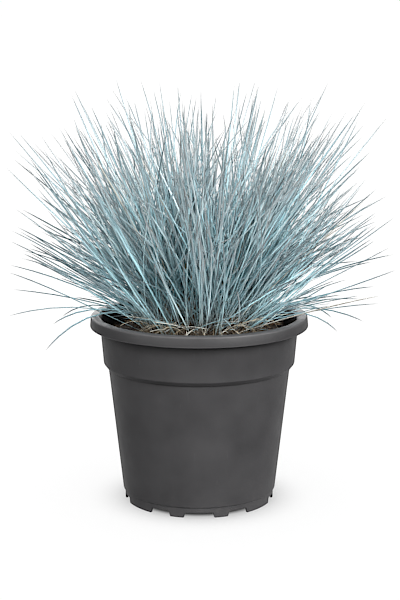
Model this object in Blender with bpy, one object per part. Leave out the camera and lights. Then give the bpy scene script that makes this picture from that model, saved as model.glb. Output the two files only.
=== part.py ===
"""A clump of blue fescue, a fine-leaved grass, growing in a dark plastic nursery pot.

The origin is on the pot's axis at the level of its feet, +Z is up, and the front faces -Y.
Angles around the pot are in degrees, counted from the front towards +X.
Lean angles are in degrees from straight up. All lengths are in metres.
"""

import math
import random

import bmesh
import bpy
from mathutils import Vector

# Pot: radii of its outside, heights above the ground
POT_HEIGHT = 0.1637
RIM_TOP_RADIUS = 0.0941
RIM_BAND_RADIUS = 0.0950
RIM_BAND_BOTTOM = 0.1543
RIM_INNER_RADIUS = 0.0871
RIM_EDGE = 0.0009
RIM_THICKNESS = 0.0019
COLLAR_TOP_RADIUS = 0.0867
COLLAR_RADIUS = 0.0834
COLLAR_BOTTOM = 0.1225
SHOULDER_LIP_REACH = 0.0018
SHOULDER_LIP_RISE = 0.0009
BODY_TOP_RADIUS = 0.0794
BODY_TOP = 0.1189
BODY_BOTTOM_RADIUS = 0.0671
FOOT_RING_TOP = 0.0091
FOOT_RING_TOP_RADIUS = 0.0660
FOOT_RADIUS = 0.0655
WALL = 0.0016
BASE_THICKNESS = 0.0020

# The foot ring stands on feet. Each pair is one foot's two ends, as angles in the front right
# quarter of the ring, which the other three quarters mirror.
FOOT_HEIGHT = 0.0045
FOOT_WALL = 0.0020
FOOT_END_SLANT = 0.0015
FEET = ((10.3, 23.6), (38.0, 68.5), (79.5, 90.0))
WIDEST_FACET = 8.0

# Drain holes through the raised base
HOLE_COUNT = 8
HOLE_RADIUS = 0.0045
HOLE_CIRCLE_RADIUS = 0.048
HOLE_SIDES = 8

# Soil and the crown that the leaves grow from
GAP = 0.0003
SOIL_AT_WALL = 0.1485
SOIL_AT_CROWN = 0.1505
SOIL_RINGS = (0.070, 0.058, 0.053)
SOIL_LUMP = 0.0008
CROWN_SPHERE_RADIUS = 0.0620
CROWN_HALF_ANGLE = 52.0
CROWN_SIDES = 24
CROWN_BANDS = 4

# Leaf tufts, spread over the crown like the seeds of a sunflower
TUFT_COUNT = 46
TUFT_SPREAD = 45.0
GOLDEN_ANGLE = 137.50776
SHEATH_RADIUS = 0.0053
SHEATH_TOP_RADIUS = 0.0057
SHEATH_LENGTH = 0.010
LEAVES_PER_TUFT = 8
LEAF_RADII = (0.0015, 0.0012)
LEAF_STATIONS = (0.15, 0.55)
FAN_ANGLE = 8.5
FAN_SHARES = (0.8, 1.1)
OUTERMOST_LEAN = 83.0
FRONT_LIFT = 0.23
FRONT_LIFT_WIDTH = 50.0
STRAIGHTNESS = 0.75
ARCH_REACH = 0.45

# How far the leaf tips reach from the middle of the clump, as pairs of lean and distance
ENVELOPE_CENTRE_HEIGHT = 0.1505
ENVELOPE = (
    (0.0, 0.212),
    (20.0, 0.231),
    (28.0, 0.244),
    (42.0, 0.246),
    (50.0, 0.222),
    (60.0, 0.198),
    (75.0, 0.178),
    (90.0, 0.172),
)
SHORTEST_LEAF = 0.80
LONGEST_OTHER_LEAF = 0.96
SEED = 7

UP = Vector((0.0, 0.0, 1.0))


def clear_scene():
    for thing in list(bpy.data.objects):
        bpy.data.objects.remove(thing)


def make_material(name, colour, roughness):
    material = bpy.data.materials.new(name)
    material.use_nodes = True
    shader = material.node_tree.nodes["Principled BSDF"]
    shader.inputs["Base Color"].default_value = (*colour, 1.0)
    shader.inputs["Roughness"].default_value = roughness
    shader.inputs["Metallic"].default_value = 0.0
    return material


def make_object(name, bm, material, parent, location=(0.0, 0.0, 0.0)):
    """Turn a bmesh, built where it stands, into a named object with its origin at location."""
    bmesh.ops.translate(bm, vec=-Vector(location), verts=bm.verts)
    mesh = bpy.data.meshes.new(name)
    bm.to_mesh(mesh)
    bm.free()
    mesh.materials.append(material)
    thing = bpy.data.objects.new(name, mesh)
    thing.location = location
    thing.parent = parent
    bpy.context.collection.objects.link(thing)
    return thing


def around(angle, radius, height):
    """A point at an angle from the front, a distance from the pot's axis and a height."""
    turn = math.radians(angle)
    return Vector((radius * math.sin(turn), -radius * math.cos(turn), height))


def direction(lean, angle):
    """The unit vector that leans from straight up towards an angle around the pot."""
    tilt = math.radians(lean)
    return around(angle, math.sin(tilt), math.cos(tilt))


def facet_angles():
    """The angles of the pot's corners, which fall on the ends of the feet."""
    ends = sorted({0.0, 90.0, *(end for foot in FEET for end in foot)})
    quarter = []
    for start, stop in zip(ends, ends[1:]):
        steps = math.ceil((stop - start) / WIDEST_FACET)
        quarter += [start + (stop - start) * step / steps for step in range(steps)]
    half = quarter + [90.0] + [180.0 - angle for angle in reversed(quarter[1:])]
    return half + [angle + 180.0 for angle in half]


def turned(bm, profile, angles):
    """A solid turned about the Z axis, from a profile that starts and ends on the axis.

    Returns the bands of faces, one list for each stretch of the profile.
    """
    rings = []
    for radius, height in profile:
        if radius == 0.0:
            rings.append([bm.verts.new((0.0, 0.0, height))])
            continue
        rings.append([bm.verts.new(around(angle, radius, height)) for angle in angles])
    bands = []
    for lower, upper in zip(rings, rings[1:]):
        band = []
        for index in range(len(angles)):
            follower = (index + 1) % len(angles)
            corners = [
                lower[index % len(lower)],
                lower[follower % len(lower)],
                upper[follower % len(upper)],
                upper[index % len(upper)],
            ]
            band.append(bm.faces.new(list(dict.fromkeys(corners))))
        bands.append(band)
    return bands


def pot_profile():
    """The pot's section, from the middle of the base's underside, up the outside and down the inside."""
    base_top = FOOT_HEIGHT + BASE_THICKNESS
    underside_of_rim = POT_HEIGHT - RIM_THICKNESS
    return [
        (0.0, FOOT_HEIGHT),
        (FOOT_RADIUS - FOOT_WALL, FOOT_HEIGHT),
        (FOOT_RADIUS, FOOT_HEIGHT),
        (FOOT_RING_TOP_RADIUS, FOOT_RING_TOP),
        (BODY_BOTTOM_RADIUS, FOOT_RING_TOP),
        (BODY_TOP_RADIUS, BODY_TOP),
        (BODY_TOP_RADIUS + SHOULDER_LIP_REACH, BODY_TOP + SHOULDER_LIP_RISE),
        (COLLAR_RADIUS, COLLAR_BOTTOM),
        (COLLAR_TOP_RADIUS, underside_of_rim),
        (RIM_TOP_RADIUS - WALL, underside_of_rim),
        (RIM_BAND_RADIUS - WALL, RIM_BAND_BOTTOM),
        (RIM_BAND_RADIUS, RIM_BAND_BOTTOM),
        (RIM_TOP_RADIUS, POT_HEIGHT - RIM_EDGE),
        (RIM_TOP_RADIUS - RIM_EDGE, POT_HEIGHT),
        (RIM_INNER_RADIUS, POT_HEIGHT),
        (COLLAR_TOP_RADIUS - WALL, POT_HEIGHT - RIM_EDGE),
        (COLLAR_RADIUS - WALL, COLLAR_BOTTOM),
        (BODY_TOP_RADIUS - WALL, BODY_TOP),
        (BODY_BOTTOM_RADIUS - WALL, FOOT_RING_TOP),
        (BODY_BOTTOM_RADIUS - 2.0 * WALL, base_top),
        (0.0, base_top),
    ]


def foot_at(angle):
    """The foot that an angle falls on, as its middle and its half width in degrees, or None."""
    side = round(angle / 180.0) * 180.0
    from_side = abs(angle - side)
    for start, stop in FEET:
        if start <= from_side <= stop:
            if stop == 90.0:
                middle = 90.0 if angle < 180.0 else 270.0
                return middle, 90.0 - start
            half = (stop - start) / 2
            return side + math.copysign(start + half, angle - side), half
    return None


def grow_feet(bm, ring_faces, angles):
    """Draw the feet down out of the foot ring's flat underside, a little narrower at the ground."""
    by_foot = {}
    for index, face in enumerate(ring_faces):
        start = angles[index]
        stop = angles[index + 1] if index + 1 < len(angles) else 360.0
        foot = foot_at((start + stop) / 2)
        if foot:
            by_foot.setdefault(foot, []).append(face)
    for (middle, half), faces in by_foot.items():
        narrowing = 1.0 - math.degrees(FOOT_END_SLANT / FOOT_RADIUS) / half
        grown = bmesh.ops.extrude_face_region(bm, geom=faces)["geom"]
        bmesh.ops.delete(bm, geom=faces, context="FACES")
        for corner in grown:
            if isinstance(corner, bmesh.types.BMVert):
                angle = math.degrees(math.atan2(corner.co.x, -corner.co.y)) - middle
                angle = (angle + 180.0) % 360.0 - 180.0
                radius = math.hypot(corner.co.x, corner.co.y)
                corner.co = around(middle + angle * narrowing, radius, 0.0)


def make_hole_cutter(parent):
    bm = bmesh.new()
    for index in range(HOLE_COUNT):
        angle = 360.0 * (index + 0.5) / HOLE_COUNT
        made = bmesh.ops.create_cone(
            bm,
            cap_ends=True,
            segments=HOLE_SIDES,
            radius1=HOLE_RADIUS,
            radius2=HOLE_RADIUS,
            depth=4.0 * BASE_THICKNESS,
        )
        middle = around(angle, HOLE_CIRCLE_RADIUS, FOOT_HEIGHT + BASE_THICKNESS / 2)
        bmesh.ops.translate(bm, vec=middle, verts=made["verts"])
    cutter = make_object("hole_cutter", bm, bpy.data.materials["pot_plastic"], parent)
    cutter.hide_render = True
    cutter.display_type = "WIRE"
    return cutter


def make_pot(parent):
    plastic = make_material("pot_plastic", (0.065, 0.066, 0.070), 0.55)
    angles = facet_angles()
    bm = bmesh.new()
    bands = turned(bm, pot_profile(), angles)
    grow_feet(bm, bands[1], angles)
    bmesh.ops.recalc_face_normals(bm, faces=bm.faces)
    pot = make_object("pot", bm, plastic, parent)
    drain = pot.modifiers.new("drain_holes", "BOOLEAN")
    drain.operation = "DIFFERENCE"
    drain.solver = "EXACT"
    drain.object = make_hole_cutter(parent)
    pot.data.shade_smooth()
    pot.data.set_sharp_from_angle(angle=math.radians(30.0))


def make_soil(parent):
    """The soil, as one body that fills the pot, with an uneven top."""
    earth = make_material("soil", (0.030, 0.022, 0.017), 0.95)
    inset = WALL + GAP
    wall_slope = (COLLAR_TOP_RADIUS - COLLAR_RADIUS) / (POT_HEIGHT - COLLAR_BOTTOM)
    top_radius = COLLAR_RADIUS - inset + wall_slope * (SOIL_AT_WALL - COLLAR_BOTTOM)
    profile = [
        (0.0, FOOT_HEIGHT + BASE_THICKNESS + GAP),
        (BODY_BOTTOM_RADIUS - 2.0 * WALL - GAP, FOOT_HEIGHT + BASE_THICKNESS + GAP),
        (BODY_BOTTOM_RADIUS - inset, FOOT_RING_TOP + GAP),
        (BODY_TOP_RADIUS - inset, BODY_TOP),
        (COLLAR_RADIUS - inset, COLLAR_BOTTOM + GAP),
        (top_radius, SOIL_AT_WALL),
        (SOIL_RINGS[0], SOIL_AT_WALL + SOIL_LUMP),
        (SOIL_RINGS[1], SOIL_AT_CROWN - SOIL_LUMP),
        (SOIL_RINGS[2], SOIL_AT_CROWN),
        (0.0, SOIL_AT_CROWN),
    ]
    bm = bmesh.new()
    turned(bm, profile, facet_angles()[::2])
    draw = random.Random(SEED)
    for corner in bm.verts:
        from_axis = math.hypot(corner.co.x, corner.co.y)
        if corner.co.z > SOIL_AT_WALL and from_axis > SOIL_RINGS[2] + GAP:
            corner.co.z += draw.uniform(-SOIL_LUMP, SOIL_LUMP)
    bmesh.ops.recalc_face_normals(bm, faces=bm.faces)
    make_object("potting_soil", bm, earth, parent)


def crown_centre():
    """The middle of the sphere that the crown's domed top is part of."""
    base = SOIL_AT_CROWN + GAP
    return Vector((0.0, 0.0, base - CROWN_SPHERE_RADIUS * math.cos(math.radians(CROWN_HALF_ANGLE))))


def make_crown(parent):
    straw = make_material("crown_sheaths", (0.33, 0.27, 0.18), 0.8)
    centre = crown_centre()
    profile = [(0.0, SOIL_AT_CROWN + GAP)]
    for band in range(CROWN_BANDS, -1, -1):
        lean = math.radians(CROWN_HALF_ANGLE * band / CROWN_BANDS)
        radius = CROWN_SPHERE_RADIUS * math.sin(lean) if band else 0.0
        profile.append((radius, centre.z + CROWN_SPHERE_RADIUS * math.cos(lean)))
    bm = bmesh.new()
    turned(bm, profile, [360.0 * side / CROWN_SIDES for side in range(CROWN_SIDES)])
    bmesh.ops.recalc_face_normals(bm, faces=bm.faces)
    make_object("crown", bm, straw, parent)


def envelope(lean):
    """How far the longest leaves reach at a lean."""
    for (start, near), (stop, far) in zip(ENVELOPE, ENVELOPE[1:]):
        if lean <= stop:
            return near + (far - near) * (lean - start) / (stop - start)
    return ENVELOPE[-1][1]


def leaf_direction(across):
    """The direction of a leaf's tip, held higher at the front, where no leaf hides the rim."""
    lean = math.degrees(UP.angle(across))
    angle = math.degrees(math.atan2(across.x, -across.y))
    lift = FRONT_LIFT * math.exp(-((angle / FRONT_LIFT_WIDTH) ** 2))
    return direction(lean * (1.0 - lift), angle)


def sheath_frames(normal, heading, base):
    """Where the sheath bundle's foot and top lie, and how they are turned."""
    return (
        (base, UP.rotation_difference(normal), SHEATH_RADIUS),
        (base + heading * SHEATH_LENGTH, UP.rotation_difference(heading), SHEATH_TOP_RADIUS),
    )


def grow_leaf(bm, face, heading, tip):
    """Draw one leaf out of a triangle of the sheath's top, along an arch to the leaf's tip."""
    root = face.calc_center_median()
    bend = root + heading * (tip - root).length * ARCH_REACH
    middle = root
    for station, radius in zip(LEAF_STATIONS, LEAF_RADII):
        point = root.lerp(bend, station).lerp(bend.lerp(tip, station), station)
        along = (bend.lerp(tip, station) - root.lerp(bend, station)).normalized()
        face = bmesh.ops.extrude_discrete_faces(bm, faces=[face])["faces"][0]
        for corner in face.verts:
            outward = corner.co - middle
            outward = (outward - along * outward.dot(along)).normalized()
            corner.co = point + outward * radius
        middle = point
    bmesh.ops.poke(bm, faces=[face])["verts"][0].co = tip


def make_tuft(index, material, parent, draw):
    share = (index + 0.5) / TUFT_COUNT
    angle = index * GOLDEN_ANGLE
    spread = math.degrees(math.acos(1.0 - share * (1.0 - math.cos(math.radians(TUFT_SPREAD)))))
    outer = math.radians(OUTERMOST_LEAN - FAN_ANGLE)
    lean = math.degrees(math.acos(1.0 - share * (1.0 - math.cos(outer))))
    normal = direction(spread, angle)
    across = direction(lean, angle)
    heading = normal.lerp(leaf_direction(across), STRAIGHTNESS).normalized()
    base = crown_centre() + normal * (CROWN_SPHERE_RADIUS + GAP)

    bm = bmesh.new()
    bmesh.ops.create_cone(
        bm,
        cap_ends=True,
        cap_tris=True,
        segments=LEAVES_PER_TUFT,
        radius1=1.0,
        radius2=1.0,
        depth=1.0,
    )
    top_faces = [face for face in bm.faces if all(corner.co.z > 0.0 for corner in face.verts)]
    foot_frame, top_frame = sheath_frames(normal, heading, base)
    for corner in bm.verts:
        place, turn, radius = top_frame if corner.co.z > 0.0 else foot_frame
        corner.co = place + turn @ Vector((corner.co.x, corner.co.y, 0.0)) * radius

    longest = draw.randrange(LEAVES_PER_TUFT)
    middle = base + heading * SHEATH_LENGTH
    for number, face in enumerate(top_faces):
        reach = 1.0 if number == longest else draw.uniform(SHORTEST_LEAF, LONGEST_OTHER_LEAF)
        outward = (face.calc_center_median() - middle).normalized()
        fan = math.tan(math.radians(FAN_ANGLE * draw.uniform(*FAN_SHARES)))
        sideways = (outward - across * outward.dot(across)).normalized()
        towards = leaf_direction((across + sideways * fan).normalized())
        distance = reach * envelope(math.degrees(UP.angle(towards)))
        tip = Vector((0.0, 0.0, ENVELOPE_CENTRE_HEIGHT)) + towards * distance
        chord = (tip - face.calc_center_median()).normalized()
        grow_leaf(bm, face, normal.lerp(chord, STRAIGHTNESS).normalized(), tip)
    make_object(f"leaf_tuft_{index + 1:02d}", bm, material, parent, base)


def make_tufts(parent):
    leaf = make_material("blue_leaf", (0.22, 0.36, 0.40), 0.5)
    draw = random.Random(SEED)
    for index in range(TUFT_COUNT):
        make_tuft(index, leaf, parent, draw)


def main():
    clear_scene()
    plant = bpy.data.objects.new("potted_fescue", None)
    bpy.context.collection.objects.link(plant)
    make_pot(plant)
    make_soil(plant)
    make_crown(plant)
    make_tufts(plant)


main()
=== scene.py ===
"""The looks of a clump of blue fescue growing in a dark plastic nursery pot.

The fine leaves, the dead straw at their foot, the soil and the moulded pot are modelled around the
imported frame, in metres, with +Z up and the front towards -Y. Angles around the pot are in degrees
from the front towards +X, and lean angles are in degrees from straight up.
"""

import random
from math import acos, atan2, ceil, copysign, cos, degrees, exp, hypot, radians, sin, sqrt, tan, tau

import bmesh
import bpy
import numpy as np
from mathutils import Matrix, Vector, noise


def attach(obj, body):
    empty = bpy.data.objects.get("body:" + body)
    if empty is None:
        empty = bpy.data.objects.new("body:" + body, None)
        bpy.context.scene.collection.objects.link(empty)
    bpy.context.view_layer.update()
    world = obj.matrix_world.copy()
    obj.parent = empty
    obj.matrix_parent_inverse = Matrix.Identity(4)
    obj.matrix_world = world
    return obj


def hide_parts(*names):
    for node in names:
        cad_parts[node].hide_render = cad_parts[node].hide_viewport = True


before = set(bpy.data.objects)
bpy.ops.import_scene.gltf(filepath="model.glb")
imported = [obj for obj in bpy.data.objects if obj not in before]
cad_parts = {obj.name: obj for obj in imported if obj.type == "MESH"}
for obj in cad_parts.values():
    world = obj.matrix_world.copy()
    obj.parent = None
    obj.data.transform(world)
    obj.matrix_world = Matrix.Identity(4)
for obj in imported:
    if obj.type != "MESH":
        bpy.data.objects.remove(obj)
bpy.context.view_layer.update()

scene = bpy.context.scene
UP = Vector((0.0, 0.0, 1.0))

# ----- pot
POT_HEIGHT = 0.1637
RIM_TOP_RADIUS = 0.0941
RIM_BAND_RADIUS = 0.095
RIM_BAND_BOTTOM = 0.1543
RIM_INNER_RADIUS = 0.0871
RIM_THICKNESS = 0.0019
COLLAR_TOP_RADIUS = 0.0867
COLLAR_RADIUS = 0.0834
COLLAR_BOTTOM = 0.1225
BODY_TOP_RADIUS = 0.0794
BODY_TOP = 0.1189
BODY_BOTTOM_RADIUS = 0.0671
FOOT_RING_TOP = 0.0091
FOOT_RING_TOP_RADIUS = 0.066
FOOT_RADIUS = 0.0655
FOOT_HEIGHT = 0.0045
FOOT_WALL = 0.002
FOOT_END_SLANT = 0.0015
FEET = ((10.3, 23.6), (38.0, 68.5), (79.5, 90.0))
WALL = 0.0016
BASE_THICKNESS = 0.002
HOLE_COUNT = 8
HOLE_RADIUS = 0.0045
HOLE_CIRCLE_RADIUS = 0.048
FINEST_STEP = 2.6
FOOT_EDGE_ROUNDING = 0.00035
SHARP_EDGE_ANGLE = 38.0

# ----- soil and crown
SOIL_AT_CROWN = 0.1505
SOIL_AT_WALL = 0.1485
SOIL_EDGE = 0.0836
CROWN_FOOT = 0.1508
DOME_RADIUS = 0.062
CROWN_HALF_ANGLE = 52.0
CROWN_CENTRE = UP * (CROWN_FOOT - DOME_RADIUS * cos(radians(CROWN_HALF_ANGLE)))
CROWN_RADIUS = DOME_RADIUS * sin(radians(CROWN_HALF_ANGLE))
SHEATH_COUNT = 1500
SOIL_GAP = 0.0003
SOIL_RINGS = 44
SLOPE_START = 0.053
LUMPS_START = 0.046
LUMPS_WIDTH = 0.01
CRUMB_COUNT = 760
LARGEST_CRUMB = 0.0026
SMOOTH_CRUMB = 0.0011
CRUMB_ROUGHNESS = 0.55
CRUMB_SHAPE = ((0.8, 1.2), (0.7, 1.0), (0.6, 0.9))
BARK_SHAPE = ((0.8, 1.7), (0.45, 0.8), (0.18, 0.35))

# ----- how the leaves grow
TUFT_COUNT = sum(1 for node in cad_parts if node.startswith("leaf_tuft"))
TUFT_SPREAD = 45.0
GOLDEN_ANGLE = 137.50776
SHOOTS_PER_TUFT = 7
SHOOT_RING = 0.0105
SHOOT_SPREAD = 0.0048
SHOOT_FAN = 14.0
LEAF_FAN = 4.0
STRAY_SHARE = 0.14
THINNING = 0.13
LEFT_LOSS = 0.27
LOW_LEFT_LOSS = 0.66
LOW_RIGHT_LOSS = 0.45
STRAY_FAN = 30.0
WIDEST_FAN = 55.0
CROSSING_SHARE = 0.38
CROSSING_TURN = (25.0, 100.0)
CROSSING_LEAN = (22.0, 64.0)
REACH = (0.85, 0.11)
VIGOUR = (0.74, 1.06)
SHORTEST_REACH = 0.36
LEAF_STATIONS = (0.0, 0.05, 0.14, 0.27, 0.41, 0.56, 0.71, 0.84, 0.93, 1.0)
LEAF_WIDTH = (0.0005, 0.0007)
LONG_LEAF_WIDTH = (0.00044, 0.00056)
# Shares of each shoot's leaves that are painted paler, as leaves that catch the light
BRIGHT_SHARES = (0.60, 0.15, 0.10, 0.10, 0.10)
BRIGHT_TONE = (0.73, 0.08)
LEAF_TONE = (0.48, 0.27)
RIM_CLEARANCE = 0.0032
OVER_RIM = (0.085, 0.0962)
CLEARANCE_STATIONS = [step / 24 for step in range(3, 25)]
LOW_LEAVES = 80
LOW_LEAF_WIDTH = (0.0002, 0.0003)
LOW_LEAF_REACH = (0.062, 0.128)
FRONT_LEAF_REACH = (0.056, 0.08)
FRONT_HALF_ANGLE = 66.0
DRY_SHARE = 0.014
THATCH_COUNT = 760
THATCH_WIDTH = (0.00022, 0.00048)
LONG_STRAWS = 24
LONG_STRAW_WIDTH = (0.00022, 0.00036)
SHORT_STRAWS = 44
SHORT_STRAW_WIDTH = (0.0002, 0.00034)
CREAM_BLADE_WIDTH = (0.0002, 0.00028)
OUTER_TUFTS = 33.0
EXTRA_SHOOTS = 2
OUTERMOST_LEAN = 84.0
CLUMP_SIDE_LEAN = 66.0
CLUMP_SIDE_DEPTH = 0.038
FRONT_LIFT = 0.23
FRONT_LIFT_WIDTH = 60.0
ENVELOPE_CENTRE = UP * 0.1505
ENVELOPE = (
    (0.0, 0.212), (20.0, 0.231), (28.0, 0.244), (42.0, 0.246), (50.0, 0.222), (60.0, 0.198),
    (75.0, 0.178), (90.0, 0.172), (120.0, 0.165),
)

# The longest single leaves that stand out of the clump: angle around, lean and reach in metres
OUTSTANDING_LEAVES = (
    (-90, 18, 0.229), (-88, 13, 0.224), (-95, 9, 0.218), (-80, 5, 0.214), (-92, 27, 0.222),
    (-85, 34, 0.213), (-90, 42, 0.23), (-86, 43, 0.237), (-94, 50, 0.219), (-88, 56, 0.191),
    (-84, 61, 0.184), (-92, 65, 0.181), (-90, 71, 0.174), (-86, 77, 0.165), (92, 8, 0.216),
    (85, 14, 0.206), (90, 21, 0.217), (88, 27, 0.243), (90, 31, 0.221), (92, 37, 0.208),
    (90, 41, 0.245), (86, 47, 0.196), (92, 60, 0.196), (88, 66, 0.18), (90, 73, 0.179),
    (94, 77, 0.158),
)

# Low leaves that bend over the rim: angle around, and the distance and height of the tip
DROOPING_LEAVES = (
    (-84, 0.134, 0.134), (-88, 0.166, 0.163), (-78, 0.128, 0.16), (-97, 0.122, 0.158),
    (82, 0.143, 0.161), (76, 0.122, 0.154), (97, 0.118, 0.157), (160, 0.125, 0.16),
    (-152, 0.131, 0.156),
)

# Bleached blades that run out over the soil: the foot's angle, and the tip's angle, distance and height
CREAM_BLADES = (
    (-52, -54, 0.0835, 0.163), (-34, -38, 0.0815, 0.1615), (-27, -33, 0.0835, 0.1635),
    (-16, -22, 0.0835, 0.164), (-2, -9, 0.082, 0.16), (8, 3, 0.079, 0.158),
    (24, 34, 0.0835, 0.1635), (24, 56, 0.084, 0.165), (30, 70, 0.084, 0.169),
)


def around(angle, radius, height):
    turn = radians(angle)
    return Vector((radius * sin(turn), -radius * cos(turn), height))


def direction(lean, angle):
    tilt = radians(lean)
    return around(angle, sin(tilt), cos(tilt))


def angle_of(point):
    """The angle around the pot that a point or a direction has."""
    return degrees(atan2(point.x, -point.y))


def lean_of(way):
    """How far a direction leans from straight up, in degrees."""
    return degrees(UP.angle(way))


def dome_lean(share, widest):
    """The lean within which a share of a dome's surface lies. The dome ends at the widest lean."""
    return degrees(acos(1.0 - share * (1.0 - cos(radians(widest)))))


def even_angles(count):
    return [360.0 * side / count for side in range(count)]


def clamp(value, low=0.0, high=1.0):
    return min(max(value, low), high)


def ease(value):
    value = clamp(value)
    return value * value * (3.0 - 2.0 * value)


def random_vector(draw, size):
    return Vector([draw.gauss(0.0, size) for _ in range(3)])


def random_direction(draw):
    return random_vector(draw, 1.0).normalized()


def random_square(draw, axis):
    """A direction square to an axis, turned about it at random."""
    square = axis.orthogonal().normalized()
    square.rotate(Matrix.Rotation(draw.uniform(0.0, tau), 3, axis))
    return square


def put_in_scene(name, data):
    thing = bpy.data.objects.new(name, data)
    scene.collection.objects.link(thing)
    return thing


def mesh_of(bm):
    """A smooth mesh made of a bmesh, which is used up."""
    mesh = bpy.data.meshes.new("mesh")
    bm.to_mesh(mesh)
    bm.free()
    mesh.shade_smooth()
    return mesh


# ----- node helper
class Nodes:
    """A short way to write a tree of nodes. prefix is how the names of its node types start."""

    def __init__(self, owner, prefix="ShaderNode"):
        owner.use_nodes = True
        self.prefix = prefix
        self.owner = owner
        self.tree = owner.node_tree

    def put(self, socket, value):
        if isinstance(value, bpy.types.NodeSocket):
            self.tree.links.new(value, socket)
        elif isinstance(value, tuple) and len(value) == 3 and socket.type == "RGBA":
            socket.default_value = (*value, 1.0)
        else:
            socket.default_value = value

    def add(self, kind, inputs=None, **settings):
        node = self.tree.nodes.new(self.prefix + kind)
        for name, value in settings.items():
            setattr(node, name, value)
        for name, value in (inputs or {}).items():
            self.put(node.inputs[name], value)
        return node

    def place(self):
        return self.add("TexCoord").outputs["Object"]

    def attribute(self, name):
        return self.add("Attribute", attribute_name=name).outputs["Fac"]

    def graded(self, value, start, stop, first, last):
        """From first to last while the value goes from start to stop, and level outside them."""
        inputs = {"Value": value, "From Min": start, "From Max": stop, "To Min": first, "To Max": last}
        return self.add("MapRange", inputs).outputs["Result"]

    def ramp(self, factor, stops):
        """A colour from a factor. Each stop is a place and a colour, or a place and a grey."""
        node = self.add("ValToRGB", {"Fac": factor})
        elements = node.color_ramp.elements
        while len(elements) < len(stops):
            elements.new(1.0)
        for element, (place, colour) in zip(elements, stops):
            element.position = place
            element.color = (*colour, 1.0) if isinstance(colour, tuple) else (colour, colour, colour, 1.0)
        return node.outputs["Color"]

    def mix(self, factor, first, second, blend="MIX"):
        node = self.add("Mix", data_type="RGBA", blend_type=blend)
        for name, value in (("Factor", factor), ("A", first), ("B", second)):
            sockets = [socket for socket in node.inputs if socket.name == name and socket.enabled]
            self.put(sockets[0], value)
        return [socket for socket in node.outputs if socket.enabled][0]

    def darken(self, colour, amount, pattern, stops):
        """A colour multiplied, by an amount from 0 to 1, by a ramp over a pattern."""
        return self.mix(amount, colour, self.ramp(pattern, stops), "MULTIPLY")

    def math(self, operation, *values):
        return self.add("Math", dict(enumerate(values)), operation=operation).outputs[0]

    def noise(self, vector, scale, detail=3.0, roughness=0.5):
        inputs = {"Vector": vector, "Scale": scale, "Detail": detail, "Roughness": roughness}
        return self.add("TexNoise", inputs).outputs["Fac"]

    def bump(self, height, strength, distance, normal=None):
        node = self.add("Bump", {"Height": height, "Strength": strength, "Distance": distance})
        if normal:
            self.put(node.inputs["Normal"], normal)
        return node.outputs["Normal"]

    def finish(self, **inputs):
        """Fill the sockets of the material's shader, whose names are given with _ for a space."""
        shader = self.tree.nodes["Principled BSDF"]
        for name, value in inputs.items():
            self.put(shader.inputs[name.replace("_", " ")], value)
        return self.owner


def material_nodes(name):
    return Nodes(bpy.data.materials.new(name))


# ----- camera
CAMERA_PLACE = (0.00075, -1.292, 0.4285)
CAMERA_TILT = 78.95
CAMERA_LENS = 90.8


def make_camera():
    data = bpy.data.cameras.new("camera")
    data.sensor_width = 36.0
    data.lens = CAMERA_LENS
    camera = put_in_scene("camera", data)
    camera.location = CAMERA_PLACE
    camera.rotation_euler = (radians(CAMERA_TILT), 0.0, 0.0)
    scene.camera = camera


# ----- light and floor
SKY_STRENGTH = 0.66
GROUND_STRENGTH = 0.15
GROUND_BEHIND_STRENGTH = 0.85
BACKDROP_GLOW = 1.02
BACKDROP_RADIUS = 50.0
FLOOR_GLOW = 0.78
UNDER_POT_GLOW = 0.08
FLOOR_COLOUR = (0.40, 0.40, 0.40)
FLOOR_REACH = 60.0
CONTACT_SHADOW_WIDTH = 0.038
CONTACT_SHADOW_DEPTH = 0.33
CONTACT_SHADOW_FALL = 2.2
SHARPENING = 0.045
POT_LIGHTS = "lit_by_pot_lights"
POT_ONLY_SOFTBOXES = ("side", "floor_bounce")

# Each softbox's place, aim, size in metres and power in watts
SOFTBOXES = {
    "key": ((1.25, -1.54, 1.12), (0.0, 0.0, 0.2), (0.9, 0.9), 152.0),
    "fill": ((-1.4, -1.5, 1.3), (0.0, 0.0, 0.2), (2.2, 2.2), 139.0),
    "side": ((2.0, -0.45, 0.9), (0.0, 0.0, 0.15), (0.6, 1.4), 34.0),
    "behind": ((-0.4, 2.2, 1.0), (0.0, 0.0, 0.15), (2.0, 2.0), 70.0),
    "floor_bounce": ((0.0, -0.75, -0.35), (0.0, 0.0, 0.06), (1.6, 0.8), 2.2),
}


def make_sky():
    """Soft light from above, and from the ground, which is dim in front and bright behind."""
    n = Nodes(bpy.data.worlds.new("studio"))
    scene.world = n.owner
    way = n.add("TexCoord").outputs["Generated"]
    split = n.add("SeparateXYZ", {0: way})
    above = n.graded(split.outputs["Z"], -0.12, 0.04, 0.0, 1.0)
    ground = n.graded(split.outputs["Y"], 0.15, 1.0, GROUND_STRENGTH, GROUND_BEHIND_STRENGTH)
    mix = n.add("Mix", {"Factor": above, "A": ground, "B": SKY_STRENGTH})
    light = n.tree.nodes["Background"]
    n.put(light.inputs["Color"], (1.0, 1.0, 1.0))
    n.put(light.inputs["Strength"], mix.outputs["Result"])


def make_unlit_piece(name, mesh, material):
    """A piece of the studio that the camera sees and that sheds no light of its own."""
    mesh.name = name
    mesh.materials.append(material)
    piece = put_in_scene(name, mesh)
    piece.visible_diffuse = False
    piece.visible_glossy = False
    piece.visible_shadow = False
    return piece


def make_backdrop():
    """A white dome around the studio."""
    bm = bmesh.new()
    bmesh.ops.create_uvsphere(bm, u_segments=48, v_segments=24, radius=BACKDROP_RADIUS)
    bmesh.ops.reverse_faces(bm, faces=bm.faces)
    white = material_nodes("backdrop").finish(
        Base_Color=(0.0, 0.0, 0.0), Specular_IOR_Level=0.0, Emission_Color=(1.0, 1.0, 1.0),
        Emission_Strength=BACKDROP_GLOW,
    )
    backdrop = make_unlit_piece("backdrop", mesh_of(bm), white)
    return backdrop


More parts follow.
